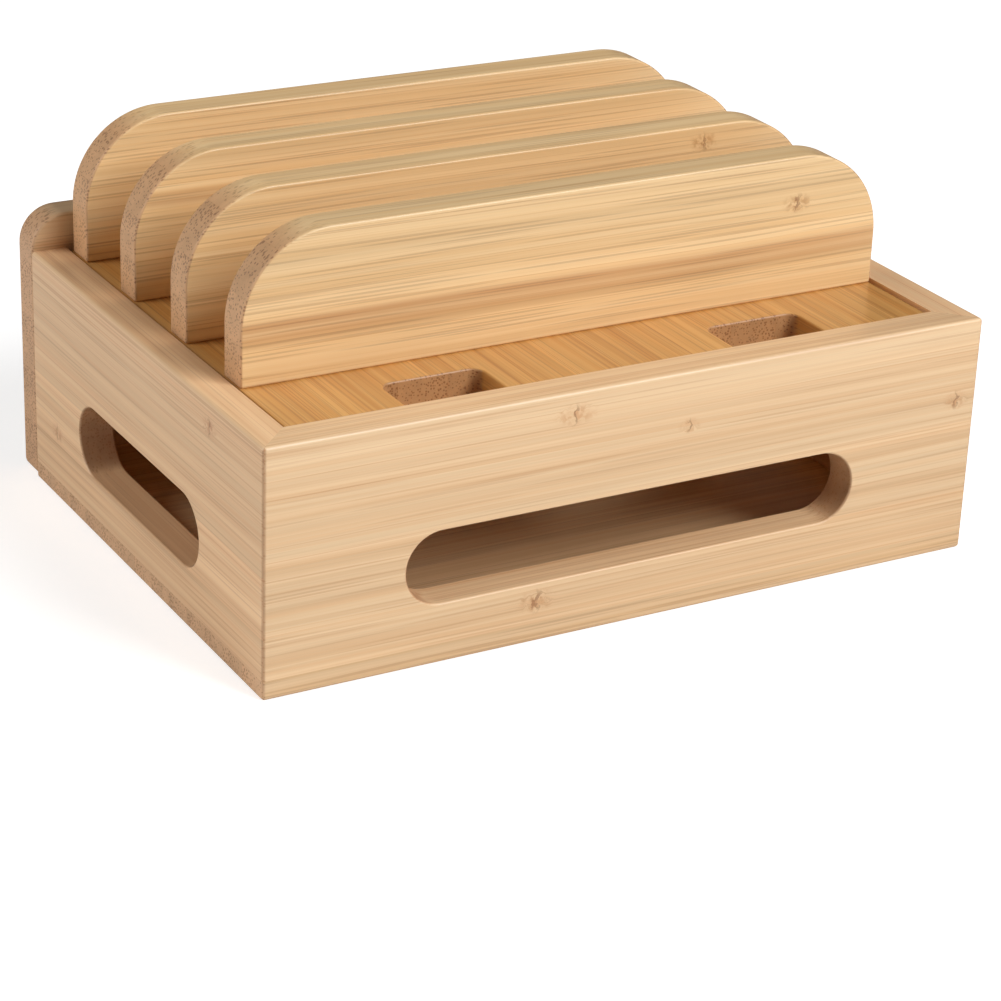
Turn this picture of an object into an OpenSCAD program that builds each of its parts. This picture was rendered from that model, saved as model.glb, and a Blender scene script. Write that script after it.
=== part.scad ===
/* [Box] */
// Outside width of the box
box_w = 254; // [220:1:320]
// Outside depth of the box, back board included
box_d = 190; // [180:1:240]
// Height of the rim, the top of the front and side walls, above the table
rim_h = 81; // [70:0.5:120]
// Thickness of the front and side walls
wall_t = 12; // [8:0.5:16]
// Thickness of the bottom board under the walls
bottom_t = 6.5; // [4:0.5:10]

/* [Back board] */
// Thickness of the back board
back_t = 12; // [8:0.5:16]
// Height of the back board above the rim
back_rise = 12; // [0:0.5:30]
// Radius of the back board's two top corners
back_corner_r = 12; // [4:0.5:20]
// Radius of the back board's two bottom corners
back_foot_r = 3.5; // [1:0.5:6]

/* [Cable slots] */
// Height of the front and side slots
slot_h = 24; // [16:0.5:32]
// Height of the slots' sill above the bottom board
slot_sill = 13.5; // [6:0.5:18]
// Length of the front slot, round ends included
front_slot_w = 160; // [60:1:190]
// Length of each side slot, round ends included
side_slot_w = 94; // [50:1:120]
// Distance of the side slots' middle in front of the compartment's middle
side_slot_forward = 2.5; // [-8:0.5:8]

/* [Lid] */
// Thickness of the lid board
lid_t = 10; // [8:0.5:14]
// Gap between the lid's edge and the walls, all round
lid_gap = 1.1; // [0.5:0.1:2.5]
// Depth of the lid's top face below the rim
lid_recess = 0.8; // [0:0.1:3]
// Width of each cable notch in the lid's front edge
notch_w = 34; // [20:0.5:50]
// Depth of each cable notch, from the lid's front edge
notch_d = 18; // [12:0.5:26]
// Radius of the notches' inner corners
notch_r = 4; // [2:0.5:8]
// Distance between the two notches' middles
notch_spacing = 115; // [70:1:140]

/* [Dividers] */
// Thickness of each divider
divider_t = 12; // [9:0.5:14.5]
// Height of the dividers above the lid
divider_h = 47.3; // [42:0.1:90]
// Radius of the dividers' top corners
divider_r = 30; // [10:0.5:36]
// Clear width between two dividers, for a phone or a tablet
device_gap = 27.7; // [20:0.1:31]
// Distance of each divider's ends from the lid's side edges
divider_inset = 0.2; // [0:0.1:6]
// Depth of lid behind the last divider
rear_strip = 1.8; // [0.5:0.1:10]

/* [Lid rails] */
// Width of the two rails that the lid lies on
rail_w = 33; // [18:0.5:50]
// Thickness of the rails
rail_t = 12; // [8:0.5:14]

/* [Magnets] */
// Diameter of the magnet discs in the rails and in the lid
magnet_d = 7; // [5:0.5:12]
// Thickness of the magnet discs
magnet_t = 3; // [2:0.5:5]
// Distance of the magnets' centres from the front wall and from the back board
magnet_from_end = 39; // [20:0.5:60]
// Gap between a lid magnet's face and the rail magnet under it
magnet_face_gap = 0.3; // [0.1:0.1:1]
// Room round a magnet in its pocket
pocket_room = 0.05; // [0.05:0.05:0.3]

/* [Divider screws] */
// Length of each screw, from the face of its head to its point
screw_l = 32; // [20:1:45]
// Diameter of the shank
screw_d = 4; // [3:0.1:5]
// Diameter of the countersunk head
screw_head_d = 8; // [6.5:0.1:9]
// Length of the pointed end
screw_point = 5; // [3:0.5:8]
// Distance between the two outer screws of a divider
screw_span = 140; // [80:1:160]
// Depth of the heads below the lid's underside
screw_sunk = 0.4; // [0.2:0.1:1]
// Room round a screw in its hole
screw_room = 0.1; // [0.05:0.05:0.3]
// Width of the cross cut in the head
cross_w = 1; // [0.6:0.1:1.4]
// Length of the cross cut in the head
cross_l = 4.4; // [3:0.1:5]
// Depth of the cross cut in the head
cross_depth = 1.4; // [0.8:0.1:2]

/* [Hidden] */
$fn = 96;
// How far a cutting shape runs past the face that it cuts
past = 1;
// How many dividers stand on the lid, one node each
dividers = 4;

// Faces of the box, in plan: the origin is the middle of the box's base
front_y = -box_d / 2;
inner_front_y = front_y + wall_t;
inner_back_y = box_d / 2 - back_t;
inner_x = box_w / 2 - wall_t;
compartment_mid_y = (inner_front_y + inner_back_y) / 2;
wall_h = rim_h - bottom_t;

// The lid fills the rim but for the gap round it
lid_w = 2 * (inner_x - lid_gap);
lid_front_y = inner_front_y + lid_gap;
lid_back_y = inner_back_y - lid_gap;

// Levels of the lid and of the rails that it lies on
lid_top_z = rim_h - lid_recess;
lid_under_z = lid_top_z - lid_t;
rail_under_z = lid_under_z - rail_t;

// Cable slots
slot_mid_z = bottom_t + slot_sill + slot_h / 2;
side_slot_y = compartment_mid_y - side_slot_forward;

// Magnets stand over the middle of each rail
magnet_x = inner_x - rail_w / 2;
magnet_front_y = inner_front_y + magnet_from_end;
magnet_back_y = inner_back_y - magnet_from_end;

divider_pitch = divider_t + device_gap;
screw_head_h = (screw_head_d - screw_d) / 2;

// Front face of divider n. They are counted from the front and set out from the back
function divider_y(n) =
    lid_back_y - rear_strip - divider_t - (dividers - n) * divider_pitch;

// Outline of a slot with round ends, its middle on the origin
module slot_outline(length, height) {
    square([length - height, height], center = true);
    for (side = [-1, 1])
        translate([side * (length - height) / 2, 0])
            circle(d = height);
}

// What rounding to radius r takes off a board's top right corner, which is at the origin
module corner_waste(r) {
    translate([-r, -r])
        difference() {
            square(r + past);
            circle(r = r);
        }
}

// Outline of an upright board on the X axis, with its two top corners rounded
module round_top_outline(width, height, r) {
    difference() {
        translate([-width / 2, 0])
            square([width, height]);
        for (flip = [0, 1])
            mirror([flip, 0])
                translate([width / 2, height])
                    corner_waste(r);
    }
}

// Stands an outline upright, facing the front, and gives it a thickness towards the back
module upright(front, thickness) {
    translate([0, front + thickness, 0])
        rotate([90, 0, 0])
            linear_extrude(height = thickness)
                children();
}

module bottom_board() {
    color("burlywood")
        translate([-box_w / 2, front_y, 0])
            cube([box_w, inner_back_y - front_y, bottom_t]);
}

// The front wall's ends are mitred, so that no end grain shows at the front corners
module front_wall() {
    color("wheat")
        difference() {
            translate([0, 0, bottom_t])
                linear_extrude(height = wall_h)
                    polygon([
                        [-box_w / 2, front_y], [box_w / 2, front_y],
                        [inner_x, inner_front_y], [-inner_x, inner_front_y]
                    ]);
            translate([0, 0, slot_mid_z])
                upright(front_y - past, wall_t + 2 * past)
                    slot_outline(front_slot_w, slot_h);
        }
}

// A side wall is mitred at the front and runs square up to the back board
module side_wall(side) {
    color("tan")
        difference() {
            translate([0, 0, bottom_t])
                linear_extrude(height = wall_h)
                    polygon([
                        [side * box_w / 2, front_y], [side * box_w / 2, inner_back_y],
                        [side * inner_x, inner_back_y], [side * inner_x, inner_front_y]
                    ]);
            translate([side * (inner_x + wall_t / 2), side_slot_y, slot_mid_z])
                rotate([90, 0, 90])
                    linear_extrude(height = wall_t + 2 * past, center = true)
                        slot_outline(side_slot_w, slot_h);
        }
}

// Outline of the back board, which has its bottom corners rounded too
module back_outline() {
    difference() {
        round_top_outline(box_w, rim_h + back_rise, back_corner_r);
        for (flip = [0, 1])
            mirror([flip, 0])
                translate([box_w / 2, 0])
                    mirror([0, 1])
                        corner_waste(back_foot_r);
    }
}

// The back board stands on the table, behind the bottom board, and rises above the rim
module back_board() {
    color("burlywood")
        upright(inner_back_y, back_t)
            back_outline();
}

// A rail is glued along each side wall, and the lid lies on both
module rail(side) {
    color("goldenrod")
        difference() {
            translate([side * magnet_x - rail_w / 2, inner_front_y, rail_under_z])
                cube([rail_w, inner_back_y - inner_front_y, rail_t]);
            for (y = [magnet_front_y, magnet_back_y])
                translate([side * magnet_x, y, lid_under_z - magnet_t])
                    magnet_pocket(magnet_t);
        }
}

// A magnet's pocket, from its floor up through the face that it opens on
module magnet_pocket(depth) {
    cylinder(h = depth + past, d = magnet_d + 2 * pocket_room);
}

// A disc flush with the top of its rail
module rail_magnet(side, y) {
    color("gray")
        translate([side * magnet_x, y, lid_under_z - magnet_t])
            cylinder(h = magnet_t, d = magnet_d);
}

// A disc just inside the lid's underside, over the one in the rail
module lid_magnet(side, y) {
    color("gray")
        translate([side * magnet_x, y, lid_under_z + magnet_face_gap])
            cylinder(h = magnet_t, d = magnet_d);
}

// A notch's outline, from in front of the lid to its rounded inner corners
module notch_outline() {
    translate([-notch_w / 2, -past])
        square([notch_w, notch_d - notch_r + past]);
    translate([notch_r - notch_w / 2, -past])
        square([notch_w - 2 * notch_r, notch_d + past]);
    for (side = [-1, 1])
        translate([side * (notch_w / 2 - notch_r), notch_d - notch_r])
            circle(r = notch_r);
}

// The lid lies loose in the rim. Cables come up through two notches in its front edge
module lid_board() {
    color("sandybrown")
        difference() {
            translate([-lid_w / 2, lid_front_y, lid_under_z])
                cube([lid_w, lid_back_y - lid_front_y, lid_t]);
            for (side = [-1, 1]) {
                translate([side * notch_spacing / 2, lid_front_y, lid_under_z - past])
                    linear_extrude(height = lid_t + 2 * past)
                        notch_outline();
                for (y = [magnet_front_y, magnet_back_y])
                    translate([side * magnet_x, y, lid_under_z + magnet_face_gap + magnet_t])
                        mirror([0, 0, 1])
                            magnet_pocket(magnet_face_gap + magnet_t);
            }
            for (n = [1 : dividers])
                at_screws(n)
                    screw_hole();
        }
}

// A divider stands on the lid and is screwed to it from below
module divider(n) {
    color("wheat")
        difference() {
            translate([0, 0, lid_top_z])
                upright(divider_y(n), divider_t)
                    round_top_outline(lid_w - 2 * divider_inset, divider_h, divider_r);
            at_screws(n)
                screw_hole();
        }
}

// Places a child at each screw of divider n, with its origin on the face of the head
module at_screws(n) {
    for (k = [-1, 0, 1])
        translate([
            k * screw_span / 2,
            divider_y(n) + divider_t / 2,
            lid_under_z + screw_sunk
        ])
            children();
}

// Outline of half a screw, grown by the room that it has in its hole
module screw_outline(room) {
    polygon([
        [0, 0], [screw_head_d / 2 + room, 0], [screw_d / 2 + room, screw_head_h],
        [screw_d / 2 + room, screw_l - screw_point], [0, screw_l]
    ]);
}

// The hole for a screw, open through the lid's underside
module screw_hole() {
    rotate_extrude()
        screw_outline(screw_room);
    translate([0, 0, -screw_sunk - past])
        cylinder(h = screw_sunk + past, r = screw_head_d / 2 + screw_room);
}

module screw() {
    difference() {
        rotate_extrude()
            screw_outline(0);
        for (turn = [0, 90])
            rotate(turn)
                cube([cross_l, cross_w, 2 * cross_depth], center = true);
    }
}

module divider_screws(n) {
    color("silver")
        at_screws(n)
            screw();
}

bottom_board();
front_wall();
side_wall(-1);  // left_wall
side_wall(1);  // right_wall
back_board();
rail(-1);  // left_rail
rail(1);  // right_rail
rail_magnet(-1, magnet_front_y);  // rail_magnet_front_left
rail_magnet(1, magnet_front_y);  // rail_magnet_front_right
rail_magnet(-1, magnet_back_y);  // rail_magnet_back_left
rail_magnet(1, magnet_back_y);  // rail_magnet_back_right
lid_board();
divider(1);  // divider_1
divider(2);  // divider_2
divider(3);  // divider_3
divider(4);  // divider_4
lid_magnet(-1, magnet_front_y);  // lid_magnet_front_left
lid_magnet(1, magnet_front_y);  // lid_magnet_front_right
lid_magnet(-1, magnet_back_y);  // lid_magnet_back_left
lid_magnet(1, magnet_back_y);  // lid_magnet_back_right
divider_screws(1);  // divider_1_screws
divider_screws(2);  // divider_2_screws
divider_screws(3);  // divider_3_screws
divider_screws(4);  // divider_4_screws
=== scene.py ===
from math import cos, pi, radians, sin

import bmesh
import bpy
from mathutils import Matrix, Vector


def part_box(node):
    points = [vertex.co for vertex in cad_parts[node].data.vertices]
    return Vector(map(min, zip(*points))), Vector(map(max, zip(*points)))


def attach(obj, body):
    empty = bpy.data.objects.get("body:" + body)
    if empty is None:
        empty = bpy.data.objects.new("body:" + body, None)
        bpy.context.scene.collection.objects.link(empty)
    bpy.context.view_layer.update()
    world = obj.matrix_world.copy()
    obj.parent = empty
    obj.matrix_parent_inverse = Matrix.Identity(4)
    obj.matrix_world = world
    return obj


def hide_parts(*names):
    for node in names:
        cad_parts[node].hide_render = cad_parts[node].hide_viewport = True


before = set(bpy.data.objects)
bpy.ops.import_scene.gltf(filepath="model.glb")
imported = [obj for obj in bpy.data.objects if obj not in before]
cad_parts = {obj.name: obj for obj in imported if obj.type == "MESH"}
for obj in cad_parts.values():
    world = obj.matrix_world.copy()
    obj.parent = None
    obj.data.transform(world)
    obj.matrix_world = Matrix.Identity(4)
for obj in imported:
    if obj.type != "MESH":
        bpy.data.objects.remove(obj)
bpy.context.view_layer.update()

# Bottom board. A thin bamboo board with its grain from left to right, glued under the walls and
# sanded flush with them. Its end grain shows along the foot of the box's sides.
# Like every board here it is drawn flat, sawn out, eased along its free edges and lacquered.
MM = 0.001
# an edge this close to a face counts as lying on it
near = 1 * MM


def draw_loop(sheet, width, height, round_by=0.0, centre=(0.0, 0.0), steps=12):
    """A flat rectangle, with its four corners rounded where round_by is given."""
    place = Matrix.Translation((centre[0], centre[1], 0)) @ Matrix.Diagonal((width, height, 1, 1))
    corners = bmesh.ops.create_grid(sheet, x_segments=1, y_segments=1, size=0.5, matrix=place)["verts"]
    if round_by:
        bmesh.ops.bevel(sheet, geom=corners, offset=round_by, segments=steps, profile=0.5,
                        affect="VERTICES", material=-1)
        bmesh.ops.remove_doubles(sheet, verts=sheet.verts[:], dist=0.002 * MM)


def saw_out(sheet, thick):
    """Fills the drawn loops, leaving the inner ones open as holes, and makes the board that thick."""
    bmesh.ops.delete(sheet, geom=sheet.faces[:], context="FACES_ONLY")
    bmesh.ops.triangle_fill(sheet, use_beauty=True, edges=sheet.edges[:], normal=(0, 0, 1))
    raised = bmesh.ops.extrude_face_region(sheet, geom=sheet.faces[:], use_keep_orig=True)["geom"]
    top = [part for part in raised if isinstance(part, bmesh.types.BMVert)]
    bmesh.ops.translate(sheet, verts=top, vec=(0, 0, thick))
    bmesh.ops.recalc_face_normals(sheet, faces=sheet.faces[:])


def cut_off(board, point, outwards):
    """Saws away what lies beyond a plane and closes the cut."""
    parts = board.verts[:] + board.edges[:] + board.faces[:]
    cut = bmesh.ops.bisect_plane(board, geom=parts, plane_co=point, plane_no=outwards, clear_outer=True)
    rim = [part for part in cut["geom_cut"] if isinstance(part, bmesh.types.BMEdge)]
    bmesh.ops.edgeloop_fill(board, edges=rim)


def ease(board, radius, chosen, steps=4):
    """Rounds the square edges whose middle passes the test."""
    square = radians(50)
    edges = [edge for edge in board.edges
             if edge.is_manifold and edge.calc_face_angle() > square
             and chosen((edge.verts[0].co + edge.verts[1].co) / 2)]
    bmesh.ops.bevel(board, geom=edges, offset=radius, segments=steps, profile=0.5,
                    affect="EDGES", clamp_overlap=True, material=-1)


def finish_board(board, name, body, stuff):
    """Turns the mesh into a named piece that stands for the CAD node of that name."""
    bmesh.ops.recalc_face_normals(board, faces=board.faces[:])
    still_smooth = radians(38)
    for face in board.faces:
        face.smooth = True
    for edge in board.edges:
        edge.smooth = edge.calc_face_angle(0) < still_smooth
    mesh = bpy.data.meshes.new(name)
    board.to_mesh(mesh)
    board.free()
    mesh.materials.append(stuff)
    piece = bpy.data.objects.new(name + "_wood", mesh)
    bpy.context.collection.objects.link(piece)
    shading = piece.modifiers.new("flat faces stay flat", "WEIGHTED_NORMAL")
    shading.keep_sharp = True
    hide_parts(name)
    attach(piece, body)


def shade(red, green, blue):
    """A colour as seen on a screen, 0 to 255, turned into the renderer's linear values."""
    linear = []
    for value in (red, green, blue):
        part = value / 255
        linear.append(part / 12.92 if part <= 0.04045 else ((part + 0.055) / 1.055) ** 2.4)
    return (*linear, 1.0)


def put(tree, kind, inputs=None, **settings):
    """Adds one node; a value or another node's output goes into each named input."""
    made = tree.nodes.new(kind)
    for key, value in settings.items():
        setattr(made, key, value)
    for key, value in (inputs or {}).items():
        if isinstance(value, bpy.types.NodeSocket):
            tree.links.new(value, made.inputs[key])
        else:
            made.inputs[key].default_value = value
    return made


def reckon(tree, operation, *values):
    """One Math node."""
    made = tree.nodes.new("ShaderNodeMath")
    made.operation = operation
    for spot, value in enumerate(values):
        if isinstance(value, bpy.types.NodeSocket):
            tree.links.new(value, made.inputs[spot])
        else:
            made.inputs[spot].default_value = value
    return made.outputs[0]


def ramp(tree, value, low, high, start=0.0, end=1.0):
    """A smooth step from start to end while the value goes from low to high."""
    made = put(tree, "ShaderNodeMapRange", {"Value": value, "From Min": low, "From Max": high,
                                            "To Min": start, "To Max": end},
               interpolation_type="SMOOTHSTEP")
    return made.outputs["Result"]


def blend_in(tree, share, under, over, how="MIX"):
    """Mixes a colour over another by a share from 0 to 1."""
    made = tree.nodes.new("ShaderNodeMix")
    made.data_type = "RGBA"
    made.blend_type = how
    for spot, value in ((0, share), (6, under), (7, over)):
        if isinstance(value, bpy.types.NodeSocket):
            tree.links.new(value, made.inputs[spot])
        else:
            made.inputs[spot].default_value = value
    return made.outputs[2]


def bamboo(name, grain, across, strip, seed, pale, warm, line, bundle, end,
           lines=0.55, gloss=0.42, coat=0.15, shift=0.0, knots=(), stain=None):
    """Laminated bamboo as a solid block: fibres run along the grain, strips lie side by side across it.
    Lengths and widths are in mm. The seed makes each board its own. A knot is its place along the
    grain, its place across it, its length and its height. A stain is a darker band from a low to a
    high place across the grain."""
    strip_tone = 0.10
    fine = 0.5
    dots = 0.25
    end_dots = 0.62
    wander_by = 2.4
    swirl_by = 9.0
    ridge_share = 0.55
    ridge_brown = shade(140, 84, 44)
    joint_share = 0.16
    made = bpy.data.materials.new(name)
    made.use_nodes = True
    tree = made.node_tree
    tree.nodes.clear()

    place = put(tree, "ShaderNodeTexCoord").outputs["Object"]
    in_mm = put(tree, "ShaderNodeVectorMath", {0: place, "Scale": 1 / MM}, operation="SCALE").outputs[0]
    axes = put(tree, "ShaderNodeSeparateXYZ", {0: in_mm}).outputs
    depth = ({"X", "Y", "Z"} - {grain, across}).pop()
    run, over, deep = axes[grain], axes[across], axes[depth]

    def fibres(sideways, length, width, detail, rough, push):
        """Noise drawn out along the grain; push sets one kind of fibre apart from the next."""
        spot = put(tree, "ShaderNodeCombineXYZ", {
            0: reckon(tree, "MULTIPLY_ADD", run, 1 / length, push + seed),
            1: reckon(tree, "MULTIPLY_ADD", sideways, 1 / width, push * 1.7),
            2: reckon(tree, "MULTIPLY_ADD", deep, 1 / width, seed * 3.1)}).outputs[0]
        noise = put(tree, "ShaderNodeTexNoise", {"Vector": spot, "Scale": 1.0, "Detail": detail,
                                                 "Roughness": rough})
        return noise.outputs["Fac"]

    # the fibres wander a little; the glued joints between strips stay straight
    wander = fibres(over, length=190.0, width=16.0, detail=1.0, rough=0.5, push=3.0)
    bent = reckon(tree, "MULTIPLY_ADD", wander, wander_by, over)

    # nodes of the cane, each given by its place and its size: the fibres swirl and darken round it
    ripples = put(tree, "ShaderNodeTexNoise", {"Vector": in_mm, "Scale": 0.45, "Detail": 2.0}).outputs["Fac"]
    rippled = reckon(tree, "SUBTRACT", ripples, 0.5)
    smear, cross_line = 0.0, 0.0
    for knot_run, knot_over, knot_long, knot_tall in knots:
        off_run = reckon(tree, "MULTIPLY_ADD", run, 1 / knot_long, -knot_run / knot_long)
        off_over = reckon(tree, "MULTIPLY_ADD", over, 1 / knot_tall, -knot_over / knot_tall)
        offset = put(tree, "ShaderNodeCombineXYZ", {0: off_run, 1: off_over}).outputs[0]
        away = put(tree, "ShaderNodeVectorMath", {0: offset}, operation="LENGTH").outputs["Value"]
        in_knot = ramp(tree, away, 0.2, 1.0, 1.0, 0.0)
        bent = reckon(tree, "MULTIPLY_ADD", reckon(tree, "MULTIPLY", in_knot, rippled), swirl_by, bent)
        smear = reckon(tree, "MAXIMUM", smear, in_knot)
        ridge = reckon(tree, "ABSOLUTE", reckon(tree, "MULTIPLY_ADD", rippled, 0.9, off_run))
        ridge = reckon(tree, "MULTIPLY", ramp(tree, ridge, 0.03, 0.10, 1.0, 0.0), in_knot)
        cross_line = reckon(tree, "MAXIMUM", cross_line, ridge)

    # which strip a point lies in, and how far across that strip
    count = reckon(tree, "MULTIPLY_ADD", over, 1 / strip, 40.0 + shift)
    which = reckon(tree, "FLOOR", count)
    within = reckon(tree, "FRACT", count)
    chance = put(tree, "ShaderNodeTexWhiteNoise", {"W": reckon(tree, "ADD", which, seed)},
                 noise_dimensions="1D")
    tone = chance.outputs["Value"]
    # each strip is cut from another part of the cane
    own = reckon(tree, "MULTIPLY_ADD", which, 13.7, bent)

    broad = fibres(own, length=620.0, width=6.5, detail=1.0, rough=0.5, push=11.0)
    bands = fibres(own, length=560.0, width=1.9, detail=3.0, rough=0.62, push=23.0)
    warmth = fibres(own, length=480.0, width=2.6, detail=2.0, rough=0.6, push=37.0)
    thin = fibres(own, length=420.0, width=0.62, detail=2.0, rough=0.6, push=51.0)
    hair = fibres(own, length=60.0, width=0.26, detail=1.0, rough=0.5, push=67.0)

    # bundles of fibre: long dark threads on a side, dots on an end, thicker towards one side of a strip
    bundle_length = 90.0
    bundle_apart = 0.95
    cells = put(tree, "ShaderNodeCombineXYZ", {
        0: reckon(tree, "MULTIPLY", run, 1 / bundle_length),
        1: reckon(tree, "MULTIPLY", own, 1 / bundle_apart),
        2: reckon(tree, "MULTIPLY_ADD", deep, 1 / bundle_apart, seed)}).outputs[0]
    threads = put(tree, "ShaderNodeTexVoronoi", {"Vector": cells, "Scale": 1.0, "Randomness": 0.9})
    crowd = reckon(tree, "MULTIPLY_ADD", within, 0.16, 0.24)
    dot = ramp(tree, reckon(tree, "SUBTRACT", threads.outputs["Distance"], crowd), -0.10, 0.10, 1.0, 0.0)

    # how far a face is turned towards the grain: 1 on end grain
    facing = put(tree, "ShaderNodeSeparateXYZ",
                 {0: put(tree, "ShaderNodeNewGeometry").outputs["Normal"]}).outputs[grain]
    end_on = ramp(tree, reckon(tree, "ABSOLUTE", facing), 0.12, 0.62)
    side_on = reckon(tree, "SUBTRACT", 1.0, end_on)

    # the colour of the wood, and a level of light and dark that multiplies it at the end
    colour = blend_in(tree, ramp(tree, warmth, 0.30, 0.70), pale, warm)
    level = reckon(tree, "MULTIPLY_ADD", tone, strip_tone, 1.0 - strip_tone / 2)
    level = reckon(tree, "MULTIPLY_ADD", reckon(tree, "SUBTRACT", broad, 0.5), 0.30, level)
    level = reckon(tree, "MULTIPLY_ADD", reckon(tree, "SUBTRACT", bands, 0.5), 0.32 * lines, level)
    level = reckon(tree, "MULTIPLY_ADD", reckon(tree, "SUBTRACT", hair, 0.5), 0.22 * fine, level)
    # thin darker lines, strongest where the wood is dark
    drawn = reckon(tree, "MULTIPLY", ramp(tree, thin, 0.56, 0.72), side_on)
    drawn = reckon(tree, "MULTIPLY", drawn, ramp(tree, broad, 0.30, 0.62, 0.25, 1.0))
    colour = blend_in(tree, reckon(tree, "MULTIPLY", drawn, lines), colour, line)
    if stain:
        stain_low, stain_high = stain
        up = ramp(tree, bent, stain_low - 1.0, stain_low + 2.0)
        down = ramp(tree, bent, stain_high - 2.0, stain_high + 1.0, 1.0, 0.0)
        uneven = ramp(tree, bands, 0.25, 0.75, 0.25, 0.8)
        share = reckon(tree, "MULTIPLY", reckon(tree, "MULTIPLY", up, down), uneven)
        colour = blend_in(tree, share, colour, line)
    if knots:
        smear = reckon(tree, "MULTIPLY", smear, ramp(tree, ripples, 0.42, 0.62, 0.15, 0.75))
        colour = blend_in(tree, smear, colour, line)
        colour = blend_in(tree, reckon(tree, "MULTIPLY", cross_line, ridge_share), colour, ridge_brown)
    colour = blend_in(tree, end_on, colour, end)
    seen = reckon(tree, "MULTIPLY_ADD", end_on, end_dots - dots, dots)
    colour = blend_in(tree, reckon(tree, "MULTIPLY", dot, seen), colour, bundle)
    grey = put(tree, "ShaderNodeCombineXYZ", {0: level, 1: level, 2: level}).outputs[0]
    colour = blend_in(tree, 1.0, colour, grey, "MULTIPLY")

    # the joint between two strips is a hair-thin darker line
    apart = reckon(tree, "MULTIPLY", reckon(tree, "PINGPONG", count, 0.5), strip)
    joint = reckon(tree, "MULTIPLY", ramp(tree, apart, 0.05, 0.22, 1.0, 0.0), joint_share)
    colour = blend_in(tree, joint, colour, line)

    # fine fibres stand a little proud, bundles lie a little low, and end grain is duller
    lift = reckon(tree, "MULTIPLY_ADD", hair, 0.5, reckon(tree, "MULTIPLY", dot, -0.5))
    lift = reckon(tree, "MULTIPLY_ADD", thin, 0.4, lift)
    bump = put(tree, "ShaderNodeBump", {"Strength": 0.35, "Distance": 0.06 * MM, "Height": lift})
    matt = reckon(tree, "MULTIPLY_ADD", hair, 0.12, gloss - 0.06)
    matt = reckon(tree, "MULTIPLY_ADD", end_on, 0.12, matt)
    shader = put(tree, "ShaderNodeBsdfPrincipled", {
        "Base Color": colour, "Roughness": matt, "Normal": bump.outputs[0],
        "Coat Weight": coat, "Coat Roughness": 0.22})
    put(tree, "ShaderNodeOutputMaterial", {"Surface": shader.outputs[0]})
    return made


box_width = 254 * MM
box_depth = 190 * MM
back_thick = 12 * MM
bottom_thick = 6.5 * MM
corner_ease = 1.3 * MM
front = -box_depth / 2
back_face = box_depth / 2 - back_thick


def free_edge(at):
    """The front, its corners and the foot, but not the joints with the walls and the back board."""
    at_front = at.y < front + near
    at_foot = at.z < near and at.y < back_face - near
    return at.z < bottom_thick - near and (at_front or at_foot)


board = bmesh.new()
draw_loop(board, box_width, back_face - front, centre=(0, (front + back_face) / 2))
saw_out(board, bottom_thick)
ease(board, corner_ease, free_edge)
bottom_bamboo = bamboo("bottom_board_bamboo", grain="X", across="Y", strip=13.5, seed=4.0,
                       pale=shade(236, 201, 158), warm=shade(226, 186, 138),
                       line=shade(205, 150, 100), bundle=shade(156, 104, 66),
                       end=shade(224, 180, 138))
finish_board(board, "bottom_board", "box", bottom_bamboo)

# Front wall. One bamboo board with its grain along its length, mitred at both ends, with a long
# round-ended slot routed through it for the cables.
wall_thick = 12 * MM
rim_height = 81 * MM
slot_low = 20 * MM
slot_high = 44 * MM
slot_tall = slot_high - slot_low
wall_tall = rim_height - bottom_thick
wall_middle = (rim_height + bottom_thick) / 2
slot_drop = (slot_low + slot_high) / 2 - wall_middle
front_slot_length = 160 * MM
rim_ease = 1.1 * MM
slot_ease = 0.8 * MM


def wall_blank(length, slot_length, slot_from_middle):
    """A wall board standing along X, its outer face at y = 0 and its inner face behind it."""
    blank = bmesh.new()
    draw_loop(blank, length, wall_tall)
    draw_loop(blank, slot_length, slot_tall, slot_tall / 2, (slot_from_middle, slot_drop))
    saw_out(blank, wall_thick)
    bmesh.ops.rotate(blank, verts=blank.verts[:], cent=(0, 0, 0), matrix=Matrix.Rotation(pi / 2, 3, "X"))
    bmesh.ops.translate(blank, verts=blank.verts[:], vec=(0, wall_thick, wall_middle))

    def outer_edge(at):
        at_end = abs(at.x) > length / 2 - near
        at_rim = at.z > rim_height - near
        return at.y < near and (at_end or at_rim) or at_rim and at_end

    def inner_rim(at):
        return at.y > wall_thick - near and at.z > rim_height - near

    def slot_mouth(at):
        along = abs(at.x - slot_from_middle) < slot_length / 2 + near
        return along and slot_low - near < at.z < slot_high + near

    ease(blank, corner_ease, outer_edge)
    ease(blank, rim_ease, inner_rim)
    ease(blank, slot_ease, slot_mouth)
    return blank


wall = wall_blank(box_width, front_slot_length, 0.0)
bmesh.ops.translate(wall, verts=wall.verts[:], vec=(0, front, 0))
for side in (-1, 1):
    cut_off(wall, (side * box_width / 2, front, 0), Vector((side, 1, 0)))
front_knots = ((-24, 73.5, 9, 4.5), (-35, 14, 8, 5), (17, 63, 5, 3), (119, 54, 6, 4))
front_bamboo = bamboo("front_wall_bamboo", grain="X", across="Z", strip=21.0, seed=11.0,
                      pale=shade(243, 209, 166), warm=shade(232, 191, 145),
                      line=shade(214, 160, 112), bundle=shade(190, 134, 88),
                      end=shade(205, 160, 120), knots=front_knots)
finish_board(wall, "front_wall", "box", front_bamboo)

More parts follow.
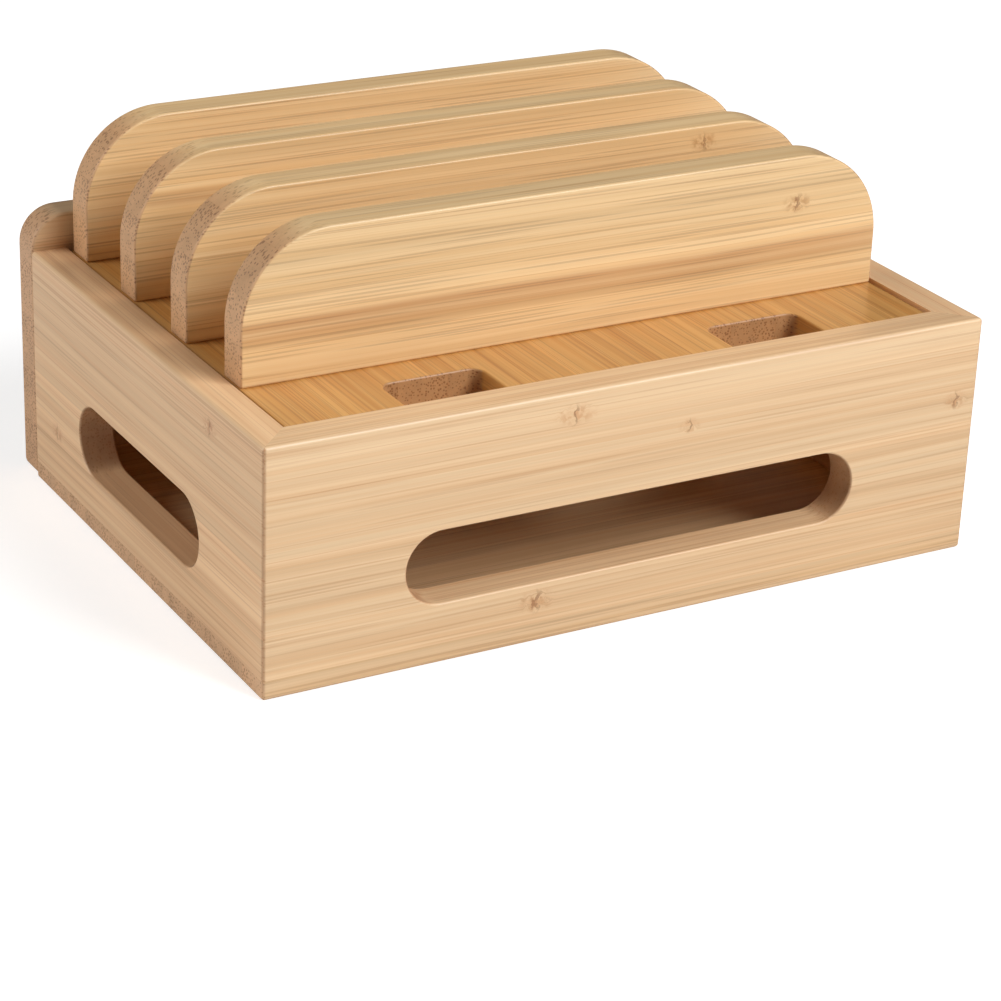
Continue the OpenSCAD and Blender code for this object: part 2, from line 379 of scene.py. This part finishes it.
# Side walls. Two bamboo boards with their grain from front to back, mitred to the front wall and
# glued square against the back board, each with a shorter slot a little forward of its middle.
# Each is sawn from a blank twice as long whose middle lies at the back board.
side_length = back_face - front
side_slot_length = 94 * MM
side_slot_middle = -2.5 * MM
side_knots = ((-58, 73, 6, 4), (64, 24, 6, 4))
for side, name, seed in ((-1, "left_wall", 21.0), (1, "right_wall", 33.0)):
    wall = wall_blank(2 * side_length, side_slot_length, side * (side_slot_middle - back_face))
    turn = Matrix.Rotation(side * pi / 2, 3, "Z")
    bmesh.ops.rotate(wall, verts=wall.verts[:], cent=(0, 0, 0), matrix=turn)
    bmesh.ops.translate(wall, verts=wall.verts[:], vec=(side * box_width / 2, back_face, 0))
    cut_off(wall, (0, back_face, 0), Vector((0, 1, 0)))
    cut_off(wall, (side * box_width / 2, front, 0), Vector((-side, -1, 0)))
    side_bamboo = bamboo(name + "_bamboo", grain="Y", across="Z", strip=20.0, seed=seed,
                         pale=shade(247, 207, 161), warm=shade(238, 192, 145),
                         line=shade(208, 152, 110), bundle=shade(184, 128, 88),
                         end=shade(205, 160, 120), knots=side_knots)
    finish_board(wall, name, "box", side_bamboo)

# Back board. One bamboo board with its grain from left to right, glued across the ends of the side
# walls. It stands above the rim, with its top corners well rounded and its foot just eased.
back_high = 93 * MM
back_ease = 1.0 * MM
top_corner = (12 * MM, lambda at: at.z > rim_height)
foot_corner = (3.5 * MM, lambda at: at.z < near)
board = bmesh.new()
draw_loop(board, box_width, back_high)
saw_out(board, back_thick)
bmesh.ops.rotate(board, verts=board.verts[:], cent=(0, 0, 0), matrix=Matrix.Rotation(pi / 2, 3, "X"))
bmesh.ops.translate(board, verts=board.verts[:], vec=(0, box_depth / 2, back_high / 2))


def through_edges(board, wanted):
    """The short edges that run through an upright board at its two ends, where the test holds."""
    found = []
    for edge in board.edges:
        start, stop = edge.verts[0].co, edge.verts[1].co
        through = abs(start.y - stop.y) > 5 * MM
        if through and abs(start.x) > 100 * MM and wanted(start):
            found.append(edge)
    return found


for radius, wanted in (top_corner, foot_corner):
    bmesh.ops.bevel(board, geom=through_edges(board, wanted), offset=radius, segments=16, profile=0.5,
                    affect="EDGES", material=-1)
ease(board, back_ease, lambda at: True)
back_bamboo = bamboo("back_board_bamboo", grain="X", across="Z", strip=19.0, seed=45.0,
                     pale=shade(240, 204, 160), warm=shade(230, 190, 145),
                     line=shade(205, 150, 104), bundle=shade(128, 76, 44),
                     end=shade(216, 170, 128))
finish_board(board, "back_board", "box", back_bamboo)

# Rails. Two wide bamboo boards glued inside along the side walls, which the lid lies on. Each has
# two round pockets bored through it for its magnets.
magnet_pocket = 3.55 * MM
magnet_out = 98.5 * MM
magnet_along = 44 * MM
rail_inner = 82 * MM
rail_ease = 0.8 * MM
for side, name, seed in ((-1, "left_rail", 52.0), (1, "right_rail", 58.0)):
    low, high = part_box(name)
    rail = bmesh.new()
    middle = (low + high) / 2
    draw_loop(rail, high.x - low.x, high.y - low.y, centre=(middle.x, middle.y))
    for forward in (-1, 1):
        draw_loop(rail, 2 * magnet_pocket, 2 * magnet_pocket, magnet_pocket,
                  (side * magnet_out, forward * magnet_along), 6)
    saw_out(rail, high.z - low.z)
    bmesh.ops.translate(rail, verts=rail.verts[:], vec=(0, 0, low.z))
    ease(rail, rail_ease, lambda at: abs(at.x - side * rail_inner) < near)
    rail_bamboo = bamboo(name + "_bamboo", grain="Y", across="X", strip=16.0, seed=seed,
                         pale=shade(226, 172, 106), warm=shade(214, 154, 86),
                         line=shade(178, 112, 56), bundle=shade(150, 90, 44),
                         end=shade(190, 140, 92))
    finish_board(rail, name, "box", rail_bamboo)

# Lid. A loose bamboo board in the rim, darker and glossier than the box, with its grain from front
# to back. Two notches with rounded corners are sawn in its front edge for the cables, and its
# underside has bored pockets for the magnets and the screw heads.
notch_wide = 34 * MM
notch_deep = 18 * MM
notch_round = 4 * MM
notch_out = 57.5 * MM
lid_ease = 0.7 * MM
low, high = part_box("lid_board")
lid = bmesh.new()
lid_thick = high.z - low.z
draw_loop(lid, high.x - low.x, high.y - low.y, centre=(0, (low.y + high.y) / 2))
for side in (-1, 1):
    for edge_at in (-1, 1):
        parts = lid.verts[:] + lid.edges[:] + lid.faces[:]
        bmesh.ops.bisect_plane(lid, geom=parts, plane_no=(1, 0, 0),
                               plane_co=(side * notch_out + edge_at * notch_wide / 2, 0, 0))
parts = lid.verts[:] + lid.edges[:] + lid.faces[:]
bmesh.ops.bisect_plane(lid, geom=parts, plane_no=(0, 1, 0), plane_co=(0, low.y + notch_deep, 0))
waste = [face for face in lid.faces
         if face.calc_center_median().y < low.y + notch_deep
         and abs(abs(face.calc_center_median().x) - notch_out) < near]
bmesh.ops.delete(lid, geom=waste, context="FACES")
bmesh.ops.dissolve_faces(lid, faces=lid.faces[:])
bmesh.ops.dissolve_limit(lid, angle_limit=radians(1), verts=lid.verts[:], edges=lid.edges[:])
inside = [vert for vert in lid.verts if abs(vert.co.y - low.y - notch_deep) < 0.1 * MM]
bmesh.ops.bevel(lid, geom=inside, offset=notch_round, segments=10, profile=0.5, affect="VERTICES",
                material=-1)
saw_out(lid, lid_thick)
bmesh.ops.translate(lid, verts=lid.verts[:], vec=(0, 0, low.z))
ease(lid, lid_ease, lambda at: True)


def bore(board, level, bored, radius, deep):
    """Blind round pockets bored upwards from the flat face at a level."""
    flush = 0.001 * MM
    flat = [face for face in board.faces if all(abs(vert.co.z - level) < flush for vert in face.verts)]
    bmesh.ops.delete(board, geom=flat, context="FACES")
    rims = []
    for across, along in bored:
        spot = Matrix.Translation((across, along, level))
        ring = bmesh.ops.create_circle(board, segments=32, radius=radius, matrix=spot)["verts"]
        rims.append([edge for edge in board.edges if edge.verts[0] in ring and edge.verts[1] in ring])
    open_edges = [edge for edge in board.edges if len(edge.link_faces) < 2]
    bmesh.ops.triangle_fill(board, use_beauty=True, edges=open_edges, normal=(0, 0, -1))
    for rim in rims:
        raised = bmesh.ops.extrude_edge_only(board, edges=rim)["geom"]
        top = [part for part in raised if isinstance(part, bmesh.types.BMVert)]
        bmesh.ops.translate(board, verts=top, vec=(0, 0, deep))
        open_rim = [part for part in raised
                    if isinstance(part, bmesh.types.BMEdge) and len(part.link_faces) < 2]
        bmesh.ops.edgeloop_fill(board, edges=open_rim)


lid_pocket_deep = 3.35 * MM
head_pocket = 4.1 * MM
head_pocket_deep = 2.5 * MM
screws_out = 70 * MM
magnet_spots = [(side * magnet_out, along * magnet_along) for side in (-1, 1) for along in (-1, 1)]
bore(lid, low.z, magnet_spots, magnet_pocket, lid_pocket_deep)
screw_spots = []
for count in (1, 2, 3, 4):
    foot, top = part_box("divider_" + str(count))
    screw_spots += [(side * screws_out, (foot.y + top.y) / 2) for side in (-1, 0, 1)]
bore(lid, low.z, screw_spots, head_pocket, head_pocket_deep)
lid_bamboo = bamboo("lid_board_bamboo", grain="Y", across="X", strip=17.0, seed=66.0,
                    pale=shade(224, 171, 100), warm=shade(209, 148, 76),
                    line=shade(176, 108, 48), bundle=shade(128, 72, 36),
                    end=shade(196, 146, 98), lines=0.8, gloss=0.36, coat=0.25)
finish_board(lid, "lid_board", "lid", lid_bamboo)

# Dividers. Four upright bamboo boards with large rounded top corners and their grain from left to
# right, screwed on from under the lid.
divider_round = 30 * MM
divider_ease = 0.8 * MM
divider_knots = {1: ((82, 112, 7, 4),), 2: ((71, 122, 7, 4),), 3: (), 4: ((-20, 104, 7, 4),)}
divider_stain = {1: (93, 102), 2: None, 3: (112, 117), 4: None}
for count, seed in ((1, 71.0), (2, 82.0), (3, 93.0), (4, 104.0)):
    name = "divider_" + str(count)
    low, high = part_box(name)
    divider = bmesh.new()
    draw_loop(divider, high.x - low.x, high.z - low.z)
    saw_out(divider, high.y - low.y)
    bmesh.ops.rotate(divider, verts=divider.verts[:], cent=(0, 0, 0), matrix=Matrix.Rotation(pi / 2, 3, "X"))
    bmesh.ops.translate(divider, verts=divider.verts[:], vec=(0, high.y, (low.z + high.z) / 2))
    top_ends = through_edges(divider, lambda at: at.z > high.z - near)
    bmesh.ops.bevel(divider, geom=top_ends, offset=divider_round, segments=28, profile=0.5,
                    affect="EDGES", material=-1)
    ease(divider, divider_ease, lambda at: True)
    divider_bamboo = bamboo(name + "_bamboo", grain="X", across="Z", strip=14.0, seed=seed,
                            pale=shade(247, 212, 160), warm=shade(238, 198, 142),
                            line=shade(196, 142, 88), bundle=shade(130, 84, 52),
                            end=shade(216, 168, 122), shift=0.3,
                            knots=divider_knots[count], stain=divider_stain[count])
    finish_board(divider, name, "lid", divider_bamboo)

# Magnets and screws. Dull grey plated discs pressed into the rails and the lid's underside, and
# bright zinc-plated wood screws driven from under the lid into the dividers. They are the frame's
# own solids, and get a scuffed metal finish here.


def scuffed_metal(name, dark, light, dull):
    """Plated metal with fine scuffs in its colour, its shine and its surface."""
    made = bpy.data.materials.new(name)
    made.use_nodes = True
    tree = made.node_tree
    tree.nodes.clear()
    place = put(tree, "ShaderNodeTexCoord").outputs["Object"]
    scuffs = put(tree, "ShaderNodeTexNoise", {"Vector": place, "Scale": 900.0, "Detail": 3.0}).outputs["Fac"]
    colour = blend_in(tree, scuffs, dark, light)
    matt = ramp(tree, scuffs, 0.3, 0.7, dull - 0.09, dull + 0.09)
    bump = put(tree, "ShaderNodeBump", {"Strength": 0.2, "Distance": 0.03 * MM, "Height": scuffs})
    shader = put(tree, "ShaderNodeBsdfPrincipled", {"Base Color": colour, "Metallic": 1.0,
                                                    "Roughness": matt, "Normal": bump.outputs[0]})
    put(tree, "ShaderNodeOutputMaterial", {"Surface": shader.outputs[0]})
    return made


magnet_metal = scuffed_metal("magnet_metal", shade(120, 120, 124), shade(158, 158, 162), 0.42)
screw_metal = scuffed_metal("screw_metal", shade(190, 190, 186), shade(222, 222, 220), 0.30)
for node_name, node_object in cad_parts.items():
    for word, metal in (("magnet", magnet_metal), ("screws", screw_metal)):
        if word in node_name:
            node_object.data.materials.clear()
            node_object.data.materials.append(metal)

# Floor. A plain pale sheet under the box. The glow that only the camera sees brings its lit part up
# to white, and the box's shadow stays on it.
floor_mesh = bpy.data.meshes.new("floor")
sheet = bmesh.new()
floor_half = 6.0
floor_grey = 0.82
camera_glow = 0.6
bmesh.ops.create_grid(sheet, x_segments=1, y_segments=1, size=floor_half)
sheet.to_mesh(floor_mesh)
sheet.free()
floor = bpy.data.objects.new("floor", floor_mesh)
bpy.context.collection.objects.link(floor)
floor_paint = bpy.data.materials.new("floor_paint")
floor_paint.use_nodes = True
tree = floor_paint.node_tree
tree.nodes.clear()
matt_floor = put(tree, "ShaderNodeBsdfDiffuse", {"Color": (floor_grey, floor_grey, floor_grey, 1)})
seen_white = reckon(tree, "MULTIPLY", put(tree, "ShaderNodeLightPath").outputs["Is Camera Ray"], camera_glow)
glow = put(tree, "ShaderNodeEmission", {"Color": (1, 1, 1, 1), "Strength": seen_white})
both = put(tree, "ShaderNodeAddShader", {0: matt_floor.outputs[0], 1: glow.outputs[0]})
put(tree, "ShaderNodeOutputMaterial", {"Surface": both.outputs[0]})
floor_mesh.materials.append(floor_paint)

# Light. A large soft lamp to the right and in front, a weaker one to the left and a little behind,
# and a dim white room that the camera sees as white.


def softbox(name, at, aim, wide, tall, watts):
    """A flat lamp turned to the place it lights."""
    lamp = bpy.data.lights.new(name, "AREA")
    lamp.shape = "RECTANGLE"
    lamp.size = wide
    lamp.size_y = tall
    lamp.energy = watts
    holder = bpy.data.objects.new(name, lamp)
    holder.location = at
    holder.rotation_euler = (Vector(aim) - Vector(at)).to_track_quat("-Z", "Y").to_euler()
    bpy.context.collection.objects.link(holder)


lit_point = (0, 0, 50 * MM)
softbox("key_lamp", at=(0.9, -1.6, 1.5), aim=lit_point, wide=1.2, tall=1.2, watts=48)
softbox("fill_lamp", at=(-2.0, 0.7, 1.1), aim=lit_point, wide=1.4, tall=1.4, watts=27)

room_glow = 0.07
world = bpy.data.worlds.new("studio")
bpy.context.scene.world = world
world.use_nodes = True
tree = world.node_tree
tree.nodes.clear()
path = put(tree, "ShaderNodeLightPath").outputs
room = put(tree, "ShaderNodeBackground", {"Color": (1, 1, 1, 1), "Strength": room_glow})
white = put(tree, "ShaderNodeBackground", {"Color": (1, 1, 1, 1), "Strength": 1.0})
direct = reckon(tree, "MAXIMUM", path["Is Camera Ray"], path["Is Transmission Ray"])
mixed = put(tree, "ShaderNodeMixShader", {0: direct, 1: room.outputs[0], 2: white.outputs[0]})
put(tree, "ShaderNodeOutputWorld", {"Surface": mixed.outputs[0]})

# Camera. It stands to the left of the front and a little above, about a metre away, slightly rolled.
# Its angles and distance were fitted to the edges of the box.
view = bpy.data.cameras.new("camera")
view.lens = 110.48
view.sensor_width = 36.0
camera = bpy.data.objects.new("camera", view)
bpy.context.collection.objects.link(camera)
turn = 0.5254
rise = 0.4244
roll = 0.0394
distance = 0.99667
away = Vector((-sin(turn) * cos(rise), -cos(turn) * cos(rise), sin(rise)))
aim = Vector((-0.01178, -0.03080, 0.01668))
right = Vector((cos(turn), -sin(turn), 0))
up = away.cross(right)
tilted_right = right * cos(roll) + up * sin(roll)
tilted_up = up * cos(roll) - right * sin(roll)
placed = Matrix((tilted_right, tilted_up, away)).transposed().to_4x4()
placed.translation = aim + away * distance
camera.matrix_world = placed
bpy.context.scene.camera = camera
bpy.context.scene.view_settings.view_transform = "Standard"
